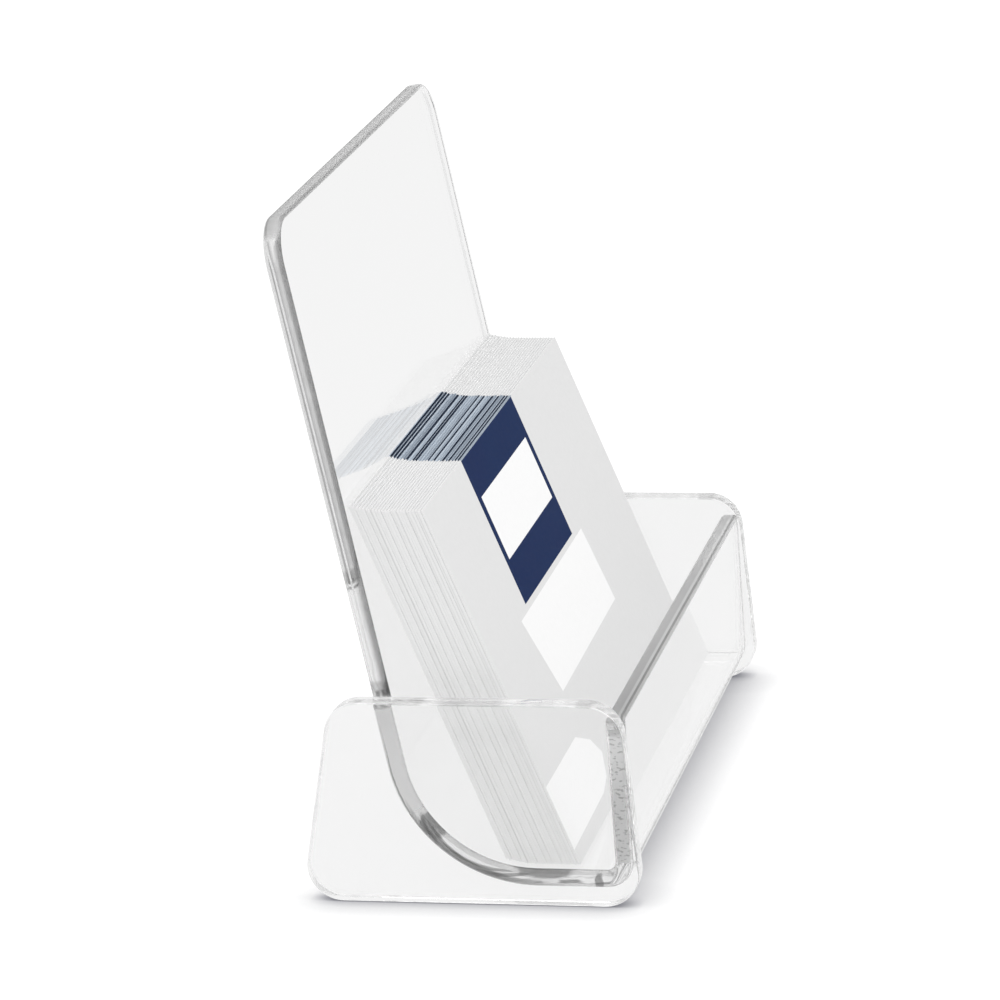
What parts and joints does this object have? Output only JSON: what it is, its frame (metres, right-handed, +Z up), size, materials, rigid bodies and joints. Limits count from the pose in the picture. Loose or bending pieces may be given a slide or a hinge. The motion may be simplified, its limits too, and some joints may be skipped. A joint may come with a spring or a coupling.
{
  "type": "business card holder stand",
  "caption": "Clear desk stand for business cards: a bent sheet forms back panel, floor and front lip between end plates, and a stack of cards leans in its pocket.",
  "frame": {"origin": "middle of the whole outline, on the surface that the end plates stand on", "axes": "+X along the width, +Y from the front lip to the back panel, +Z up"},
  "size_m": [0.1, 0.0482, 0.0955],
  "materials": {
    "clear_acrylic": "clear cast acrylic, polished faces, finely sawn edges",
    "card_stock": "smooth matt card, printed on the front face"
  },
  "bodies": {
    "holder": {"bent_sheet": "clear_acrylic", "left_end_plate": "clear_acrylic", "right_end_plate": "clear_acrylic"},
    "card_block": {"card_13": "card_stock", "card_14": "card_stock", "card_15": "card_stock", "card_16": "card_stock", "card_17": "card_stock", "card_18": "card_stock", "card_19": "card_stock", "card_20": "card_stock", "card_21": "card_stock", "card_22": "card_stock", "card_23": "card_stock", "card_24": "card_stock"},
    "card_01_body": {"card_01": "card_stock"},
    "card_02_body": {"card_02": "card_stock"},
    "card_03_body": {"card_03": "card_stock"},
    "card_04_body": {"card_04": "card_stock"},
    "card_05_body": {"card_05": "card_stock"},
    "card_06_body": {"card_06": "card_stock"},
    "card_07_body": {"card_07": "card_stock"},
    "card_08_body": {"card_08": "card_stock"},
    "card_09_body": {"card_09": "card_stock"},
    "card_10_body": {"card_10": "card_stock"},
    "card_11_body": {"card_11": "card_stock"},
    "card_12_body": {"card_12": "card_stock"}
  },
  "joints": [
    {"name": "card_block_lift", "type": "slide", "parent": "holder", "child": "card_block", "axis": [0, 0.1736, 0.9848], "range_m": [0, 0.0265]},
    {"name": "card_01_lift", "type": "slide", "parent": "card_block", "child": "card_01_body", "axis": [0, 0.3584, 0.9336], "range_m": [0, 0.0265]},
    {"name": "card_02_lift", "type": "slide", "parent": "card_block", "child": "card_02_body", "axis": [0, 0.3584, 0.9336], "range_m": [0, 0.0265]},
    {"name": "card_03_lift", "type": "slide", "parent": "card_block", "child": "card_03_body", "axis": [0, 0.3584, 0.9336], "range_m": [0, 0.0265]},
    {"name": "card_04_lift", "type": "slide", "parent": "card_block", "child": "card_04_body", "axis": [0, 0.3584, 0.9336], "range_m": [0, 0.0265]},
    {"name": "card_05_lift", "type": "slide", "parent": "card_block", "child": "card_05_body", "axis": [0, 0.3584, 0.9336], "range_m": [0, 0.0265]},
    {"name": "card_06_lift", "type": "slide", "parent": "card_block", "child": "card_06_body", "axis": [0, 0.3584, 0.9336], "range_m": [0, 0.0265]},
    {"name": "card_07_lift", "type": "slide", "parent": "card_block", "child": "card_07_body", "axis": [0, 0.3584, 0.9336], "range_m": [0, 0.0265]},
    {"name": "card_08_lift", "type": "slide", "parent": "card_block", "child": "card_08_body", "axis": [0, 0.3584, 0.9336], "range_m": [0, 0.0265]},
    {"name": "card_09_lift", "type": "slide", "parent": "card_block", "child": "card_09_body", "axis": [0, 0.3584, 0.9336], "range_m": [0, 0.0265]},
    {"name": "card_10_lift", "type": "slide", "parent": "card_block", "child": "card_10_body", "axis": [0, 0.3584, 0.9336], "range_m": [0, 0.0265]},
    {"name": "card_11_lift", "type": "slide", "parent": "card_block", "child": "card_11_body", "axis": [0, 0.3584, 0.9336], "range_m": [0, 0.0265]},
    {"name": "card_12_lift", "type": "slide", "parent": "card_block", "child": "card_12_body", "axis": [0, 0.3584, 0.9336], "range_m": [0, 0.0265]}
  ]
}
